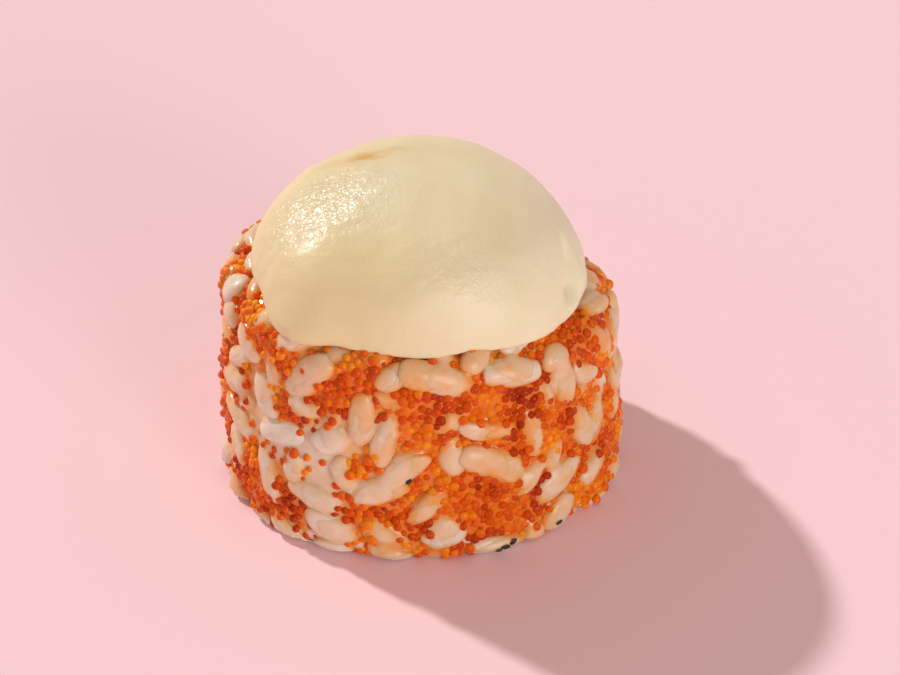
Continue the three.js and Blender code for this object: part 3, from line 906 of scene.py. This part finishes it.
def on_cap(angle, climb):
    """A point on the cap: climb goes from under its lip, below 0, to its top at 90 degrees."""
    reach = cap_reach(angle)
    if climb < 0:
        distance = reach - LIP_ROUND * (1 - math.cos(climb))
        rise = LIP_ROUND * math.sin(climb)
        lean = 0
    else:
        distance = reach * math.cos(climb)
        rise = CAP_RISE * math.sin(climb) ** CAP_FULLNESS
        lean = 1 - math.cos(climb)
    x = distance * np.cos(angle)
    y = distance * np.sin(angle)
    sag = np.minimum(rim_drop(angle, distance), CAP_DROOP) * max(0, 1 - max(climb, 0) / 0.8)
    lip_height = LIP_ROUND * math.sin(LIP_TUCK) + GAP
    height = top_height(x, y) + lip_height + rise - sag
    return np.stack([x + CAP_LEAN_X * lean, y + CAP_LEAN_Y * lean, height], axis=-1)


def cap_piece(shift):
    """The dome of sauce, from the middle of its underside out to its lip and up to its top."""
    angles = FULL_TURN * np.arange(CAP_AROUND) / CAP_AROUND
    edge = on_cap(angles, -LIP_TUCK)
    loops = []
    for share in (0.02, 0.5, 0.8, 0.95):
        flat = edge * np.array([share, share, 1])
        flat[:, 2] = top_height(flat[:, 0], flat[:, 1]) + GAP
        loops.append(flat)
    tucked = -LIP_TUCK * np.linspace(1, 0, LIP_CLIMBS, endpoint=False)
    domed = math.pi / 2 * np.linspace(0, 0.995, CAP_CLIMBS)
    loops.extend(on_cap(angles, climb) for climb in np.concatenate([tucked, domed]))
    points = np.array(loops)
    points[..., 2] += lip_lifted(points)
    count = len(loops)
    faces = loop_faces(count, CAP_AROUND)
    faces.append(tuple(range(CAP_AROUND))[::-1])
    faces.append(tuple(range((count - 1) * CAP_AROUND, count * CAP_AROUND)))
    crinkle = crinkled(points)
    # The cream share is a random tone plus painted light: paler towards the right side, and a
    # painted highlight that whitens the crinkled skin.
    cream = (points[..., 0] + 6) / 20 + 0.3 * noise_at(points, 6.0) + 0.6 * crinkle
    floats = {"crinkle": crinkle, "toast": toasted(points), "cream": np.clip(cream, 0, 1)}
    piece = mesh_piece("baked_sauce", points, faces, shift, floats)
    return pushed(piece, cap_relief)


def crinkled(points):
    """How crinkled the cap's skin is: most at the left of its top, a little at the front."""
    left = away_from(points, *CRINKLES_LEFT)
    front = away_from(points, *CRINKLES_FRONT)
    return np.clip((1.35 - left) / 0.9, 0, 1) + 0.5 * np.clip(1.3 - front, 0, 1)


def away_from(points, x, y, wide, deep):
    """0 at the middle of an oval seen from above, 1 at its edge."""
    return np.hypot((points[..., 0] - x) / wide, (points[..., 1] - y) / deep)


def toasted(points):
    """How browned the cap is: a few soft marks at the left behind its top."""
    browned = np.zeros(points.shape[:-1])
    for *oval, strength in CAP_TOAST:
        browned += strength * np.exp(-(away_from(points, *oval) ** 2))
    return np.clip(browned * (1 + 0.8 * noise_at(points, 1.1, 8.0)), 0, 1)


def lip_lifted(points):
    """How far the cap's lip is drawn up off the rice, in a few places round it."""
    x, y, z = np.moveaxis(points, -1, 0)
    angle = np.arctan2(y, x)
    near_lip = np.clip((np.hypot(x, y) - 11) / 4, 0, 1)
    low = np.clip(1 - (z - top_height(x, y) - GAP) / LIP_LIFT_REACH, 0, 1) ** 2
    lifted = LIP_WAVE * np.abs(noise_at(points * np.array([1, 1, 0]), 1.9, 12.0))
    for across, wide, high in LIP_GAPS:
        side = turn_between(FRONT + math.radians(across), angle) * CAP_REACH
        lifted += high * np.exp(-((side / wide) ** 2))
    return lifted * low * near_lip


def cap_relief(points):
    """Soft waves, a shoulder, fine crinkles of its skin, and the crease near its right end."""
    x, y, z = points.T
    above_lip = z - top_height(x, y) - GAP
    soft = 0.22 * noise_at(points, 9.0, 2.0) + 0.12 * noise_at(points, 3.6, 5.0)
    shoulder = 0.5 * np.exp(-(((x + 3.0) / 4.5) ** 2) - ((y + 5.0) / 4.5) ** 2)
    stretched = points * np.array([0.7, 1, 1])
    crinkles = (0.04 + 0.14 * crinkled(points)) * noise_at(stretched, 1.3, 1.0)
    past_crease = x - (CREASE_X - CREASE_BEND * (y + 7.0) ** 2)
    along = np.exp(-(((y + 7.2) / 3.2) ** 4)) * np.clip((above_lip - 1.8) / 1.6, 0, 1)
    crease = -CREASE_DEPTH * np.exp(-((past_crease / CREASE_WIDTH) ** 2)) * along
    ridge = RIDGE_HEIGHT * np.exp(-(((past_crease - RIDGE_AWAY) / RIDGE_WIDTH) ** 2)) * along
    return np.where(above_lip < 0.2, 0, soft + shoulder + crinkles + crease + ridge)


# ------------------------------------------------------------------------------------ materials

# The places of the sockets that a Mix node has for colours.
MIX_SHARE = 0
MIX_FIRST = 6
MIX_SECOND = 7
MIX_RESULT = 2


def new_material(name):
    """A material, its nodes, and its surface shader."""
    made = bpy.data.materials.new(name)
    made.use_nodes = True
    return made, made.node_tree, made.node_tree.nodes["Principled BSDF"]


def feed(tree, node, inputs):
    """Sets inputs of a node to values, or links them from sockets."""
    for key, value in inputs.items():
        if isinstance(value, bpy.types.NodeSocket):
            tree.links.new(value, node.inputs[key])
        else:
            node.inputs[key].default_value = value


def add(tree, kind, inputs=None, **settings):
    """A new node, with its settings and what feeds its inputs."""
    made = tree.nodes.new(kind)
    for key, value in settings.items():
        setattr(made, key, value)
    feed(tree, made, inputs or {})
    return made


def place_of(tree):
    return add(tree, "ShaderNodeTexCoord").outputs["Object"]


def noise_node(tree, size, detail=3.0, roughness=0.5, distortion=0.0):
    """Noise with lumps of that size in millimetres, as a number from 0 to 1."""
    inputs = {
        "Vector": place_of(tree),
        "Scale": 1 / (size * MM),
        "Detail": detail,
        "Roughness": roughness,
        "Distortion": distortion,
    }
    return add(tree, "ShaderNodeTexNoise", inputs).outputs["Fac"]


def ramp(tree, value, stops):
    """Colours or greys at stops along a value."""
    made = add(tree, "ShaderNodeValToRGB", {"Fac": value})
    band = made.color_ramp
    while len(band.elements) < len(stops):
        band.elements.new(1.0)
    for element, (place, colour) in zip(band.elements, stops):
        element.position = place
        element.color = (*colour, 1)
    return made.outputs["Color"]


def mixed(tree, share, first, second):
    """From the first colour to the second by a share. Colours are sockets, or have an alpha."""
    inputs = {MIX_SHARE: share, MIX_FIRST: first, MIX_SECOND: second}
    return add(tree, "ShaderNodeMix", inputs, data_type="RGBA").outputs[MIX_RESULT]


def attribute(tree, name):
    return add(tree, "ShaderNodeAttribute", attribute_name=name).outputs["Fac"]


def bumped(tree, shader, height, depth, strength):
    """Bump of that depth in millimetres."""
    inputs = {"Height": height, "Distance": depth * MM, "Strength": strength}
    bump = add(tree, "ShaderNodeBump", inputs)
    tree.links.new(bump.outputs["Normal"], shader.inputs["Normal"])


def grey(value):
    return (value, value, value)


def rice_material(name, softness):
    """Cooked rice, oranger and glossier the more the roe has stained it."""
    made, tree, shader = new_material(name)
    pale = mixed(tree, attribute(tree, "tint"), (0.79, 0.71, 0.60, 1), (0.76, 0.60, 0.43, 1))
    blotches = ramp(tree, noise_node(tree, 1.3), [(0.3, grey(0.0)), (0.7, grey(0.14))])
    shades = {0: attribute(tree, "stain"), 1: blotches}
    stain = add(tree, "ShaderNodeMath", shades, operation="ADD").outputs[0]
    near = ramp(tree, stain, [(0.1, grey(0.0)), (0.5, grey(1.0))])
    deep = ramp(tree, stain, [(0.45, grey(0.0)), (0.95, grey(1.0))])
    warmed = mixed(tree, near, pale, (0.79, 0.38, 0.10, 1))
    bumped(tree, shader, noise_node(tree, 0.5, detail=2.0), 0.05, 0.5)
    feed(tree, shader, {
        "Base Color": mixed(tree, deep, warmed, (0.82, 0.19, 0.012, 1)),
        "Roughness": ramp(tree, stain, [(0.3, grey(0.4)), (0.9, grey(0.14))]),
        "Specular IOR Level": 0.35,
        "Subsurface Weight": softness,
        "Subsurface Radius": (1.0, 0.6, 0.4),
        "Subsurface Scale": 0.6 * MM,
        "Coat Weight": 0.2,
        "Coat Roughness": 0.12,
    })
    return made


def roe_material():
    """Glossy beads, from dark red to golden, with the painted rim glow and painted shade that their
    tint carries.
    """
    made, tree, shader = new_material("roe")
    colour = ramp(
        tree,
        attribute(tree, "tint"),
        [(0.0, (0.34, 0.018, 0.0005)), (0.5, (0.76, 0.10, 0.001)), (1.0, (0.98, 0.36, 0.01))],
    )
    feed(tree, shader, {
        "Base Color": colour,
        "Roughness": 0.2,
        "Specular IOR Level": 0.1,
        "Subsurface Weight": 0.4,
        "Subsurface Radius": (1.0, 0.3, 0.05),
        "Subsurface Scale": 0.5 * MM,
        "Coat Weight": 0.2,
        "Coat Roughness": 0.05,
    })
    return made


def sauce_material():
    """Cream sauce with painted light, browned in a few places, and glossier where its skin is
    crinkled.
    """
    made, tree, shader = new_material("baked_sauce")
    # The cream attribute mixes a random tone with painted light: paler towards the right, and a
    # painted highlight on the crinkled skin.
    cream = attribute(tree, "cream")
    base = ramp(tree, cream, [(0.0, (0.79, 0.66, 0.36)), (1.0, (0.86, 0.78, 0.54))])
    browned = ramp(tree, attribute(tree, "toast"), [(0.05, grey(0.0)), (0.9, grey(1.0))])
    crinkle = attribute(tree, "crinkle")
    wrinkles = noise_node(tree, 0.6, detail=2.0, distortion=0.6)
    strength = ramp(tree, crinkle, [(0.0, grey(0.14)), (1.0, grey(1.0))])
    bumped(tree, shader, wrinkles, 0.3, strength)
    feed(tree, shader, {
        "Base Color": mixed(tree, browned, base, (0.66, 0.38, 0.06, 1)),
        "Roughness": ramp(tree, crinkle, [(0.0, grey(0.55)), (1.0, grey(0.24))]),
        "Specular IOR Level": 0.75,
        "Subsurface Weight": 0.3,
        "Subsurface Radius": (1.0, 0.8, 0.55),
        "Subsurface Scale": 1.2 * MM,
    })
    return made


def nori_material():
    """Near-black green, with the fine grain of pressed seaweed."""
    made, tree, shader = new_material("nori")
    greens = [(0.3, (0.006, 0.009, 0.005)), (0.75, (0.03, 0.035, 0.016))]
    bumped(tree, shader, noise_node(tree, 0.5), 0.12, 0.8)
    feed(tree, shader, {
        "Base Color": ramp(tree, noise_node(tree, 1.2), greens),
        "Roughness": 0.42,
    })
    return made


def cheese_material():
    made, tree, shader = new_material("cream_cheese")
    creams = [(0.35, (0.86, 0.76, 0.56)), (0.7, (0.90, 0.82, 0.66))]
    bumped(tree, shader, noise_node(tree, 0.8), 0.05, 0.6)
    feed(tree, shader, {
        "Base Color": ramp(tree, noise_node(tree, 3.0), creams),
        "Roughness": 0.4,
        "Subsurface Weight": 0.3,
        "Subsurface Radius": (1.0, 0.8, 0.5),
        "Subsurface Scale": 1.5 * MM,
    })
    return made


def shrimp_material():
    made, tree, shader = new_material("shrimp")
    pinks = [(0.3, (0.80, 0.60, 0.46)), (0.6, (0.82, 0.70, 0.58)), (0.8, (0.84, 0.56, 0.40))]
    bumped(tree, shader, noise_node(tree, 0.5), 0.05, 0.5)
    feed(tree, shader, {
        "Base Color": ramp(tree, noise_node(tree, 2.4, detail=4.0), pinks),
        "Roughness": 0.3,
        "Subsurface Weight": 0.4,
        "Subsurface Radius": (1.0, 0.6, 0.4),
        "Subsurface Scale": 2.0 * MM,
    })
    return made


def batter_material():
    made, tree, shader = new_material("tempura_batter")
    browns = [(0.3, (0.20, 0.05, 0.012)), (0.5, (0.50, 0.16, 0.03)), (0.72, (0.75, 0.38, 0.08))]
    bumped(tree, shader, noise_node(tree, 0.4, detail=4.0), 0.1, 0.8)
    feed(tree, shader, {
        "Base Color": ramp(tree, noise_node(tree, 1.5, detail=5.0, roughness=0.6), browns),
        "Roughness": 0.5,
    })
    return made


def floor_material():
    made, tree, shader = new_material("floor")
    feed(tree, shader, {
        "Base Color": (0.95, 0.67, 0.70, 1),
        "Roughness": 0.9,
        "Specular IOR Level": 0.1,
    })
    return made


# -------------------------------------------------------------------------------- the setting

def make_floor():
    half = 3.0
    mesh = bpy.data.meshes.new("floor")
    square = [(-half, -half, 0), (half, -half, 0), (half, half, 0), (-half, half, 0)]
    mesh.from_pydata(square, [], [(0, 1, 2, 3)])
    mesh.materials.append(floor_material())
    floor = bpy.data.objects.new("floor", mesh)
    bpy.context.scene.collection.objects.link(floor)


def aimed(thing, position, target):
    """Puts a camera or a light at a position, and turns it towards a target."""
    thing.location = position
    thing.rotation_euler = (Vector(target) - Vector(position)).to_track_quat("-Z", "Y").to_euler()


def make_camera():
    """The photograph's direction and distance, with a longer lens that fills the frame."""
    elevation = math.radians(35)
    distance = 0.295
    target = Vector((0.003, 0, 0.0145))
    data = bpy.data.cameras.new("camera")
    data.lens = 110
    camera = bpy.data.objects.new("camera", data)
    bpy.context.scene.collection.objects.link(camera)
    away = Vector((0, -math.cos(elevation), math.sin(elevation)))
    aimed(camera, target + distance * away, target)
    bpy.context.scene.camera = camera


def make_sun(name, direction, strength, spread, colour):
    """Even light from a direction. The more degrees it spreads over, the softer its shadows."""
    data = bpy.data.lights.new(name, "SUN")
    data.energy = strength
    data.angle = math.radians(spread)
    data.color = colour
    sun = bpy.data.objects.new(name, data)
    bpy.context.scene.collection.objects.link(sun)
    middle = Vector((0, 0, 0.015))
    distance = 0.8
    aimed(sun, middle + distance * Vector(direction).normalized(), middle)


def make_lights():
    make_sun("key", (-0.60, 0.49, 0.64), strength=2.2, spread=3, colour=(0.97, 0.98, 1.0))
    make_sun("front", (0.68, -1.0, 0.26), strength=1.38, spread=30, colour=(0.94, 0.97, 0.96))
    world = bpy.data.worlds.new("studio")
    world.use_nodes = True
    background = world.node_tree.nodes["Background"]
    background.inputs["Color"].default_value = (1.0, 0.82, 0.76, 1)
    background.inputs["Strength"].default_value = 0.48
    bpy.context.scene.world = world
    bpy.context.scene.view_settings.view_transform = "Standard"


# ------------------------------------------------------------------------------- putting it up

def dress(piece, material, slot, *nodes):
    """Gives a piece its material, puts it under the root, and hides the solids that it replaces."""
    piece.data.materials.clear()
    piece.data.materials.append(material)
    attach(piece, "root")
    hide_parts(*nodes)


def make_roll():
    shift = recipe_shift()
    random = np.random.default_rng(FINE_SEED)
    patches = roe_patches()
    proud, spines = proud_grains(patches)
    grains = proud + sunk_grains(spines, patches, random)
    rice = rice_material("rice_side", 0.5)
    dress(rice_core_piece(grains, patches, shift), rice, "rice", "rice_and_roe")
    dress(grain_piece(grains, patches, random, shift), rice, "rice", "rice_and_roe")
    cut_rice = rice_material("rice_cut", 0.0)
    dress(cut_grain_piece(random, shift), cut_rice, "rice", "rice_and_roe")
    dress(roe_piece(patches, grains, random, shift), roe_material(), "roe", "rice_and_roe")
    seaweed = nori_material()
    dress(fleck_piece(grains, random, shift), seaweed, "nori", "rice_and_roe")
    dress(nori_piece(shift), seaweed, "nori", "nori")
    fillings = [
        ("cream_cheese", "cheese_filling", 0.32, cheese_relief, cheese_material, "cream_cheese"),
        ("shrimp", "shrimp_filling", 0.3, shrimp_relief, shrimp_material, "shrimp"),
        ("tempura_batter", "batter_filling", 0.3, batter_relief, batter_material, "batter"),
    ]
    for node, name, voxel, relief, material, slot in fillings:
        dress(pushed(refined(node, name, voxel), relief), material(), slot, node)
    dress(cap_piece(shift), sauce_material(), "sauce", "sauce_cap")


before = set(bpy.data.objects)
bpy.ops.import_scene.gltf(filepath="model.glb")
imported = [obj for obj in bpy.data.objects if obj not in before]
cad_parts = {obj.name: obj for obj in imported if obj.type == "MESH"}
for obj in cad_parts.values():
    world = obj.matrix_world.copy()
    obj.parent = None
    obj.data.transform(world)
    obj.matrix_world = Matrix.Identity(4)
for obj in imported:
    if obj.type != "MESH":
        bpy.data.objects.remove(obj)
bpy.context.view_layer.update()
make_roll()
make_floor()
make_camera()
make_lights()
